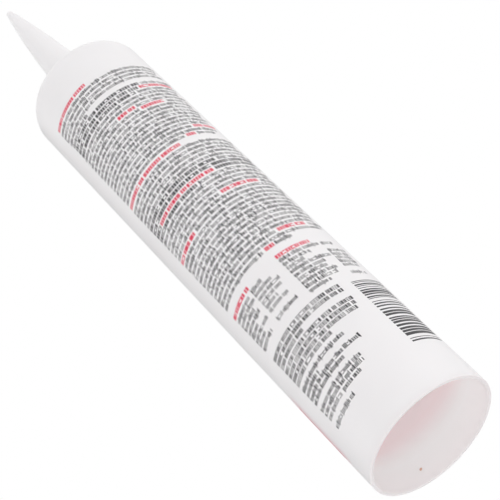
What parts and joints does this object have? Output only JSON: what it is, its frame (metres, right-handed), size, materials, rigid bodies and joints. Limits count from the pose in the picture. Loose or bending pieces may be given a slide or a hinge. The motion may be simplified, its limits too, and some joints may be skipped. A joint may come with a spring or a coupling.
{
  "type": "caulk tube",
  "caption": "White plastic caulk tube: an open-ended barrel with a rounded shoulder and a closed tapered nozzle, filled with sealant that a sliding plunger pushes out.",
  "frame": {"origin": "centre of the open rear rim, on the plane that the rim stands on", "axes": "+Z along the tube's axis, from the rear rim to the nozzle tip; X and Y are alike, because the tube is turned about Z"},
  "size_m": [0.05, 0.05, 0.2875],
  "materials": {
    "white_hdpe": "satin moulded polyethylene, slightly translucent, printed in dark grey and red",
    "seal_foil": "bright rolled foil",
    "plunger_ldpe": "satin moulded polyethylene, undyed",
    "clear_silicone": "clear uncured silicone paste"
  },
  "bodies": {
    "cartridge": {"cartridge": "white_hdpe", "foil_seal": "seal_foil", "sealant": "clear_silicone"},
    "plunger": {"plunger": "plunger_ldpe"}
  },
  "joints": [
    {"name": "plunger_slide", "type": "slide", "parent": "cartridge", "child": "plunger", "axis": [0, 0, 1], "range_m": [0, 0.171], "deforming": ["sealant"]}
  ]
}
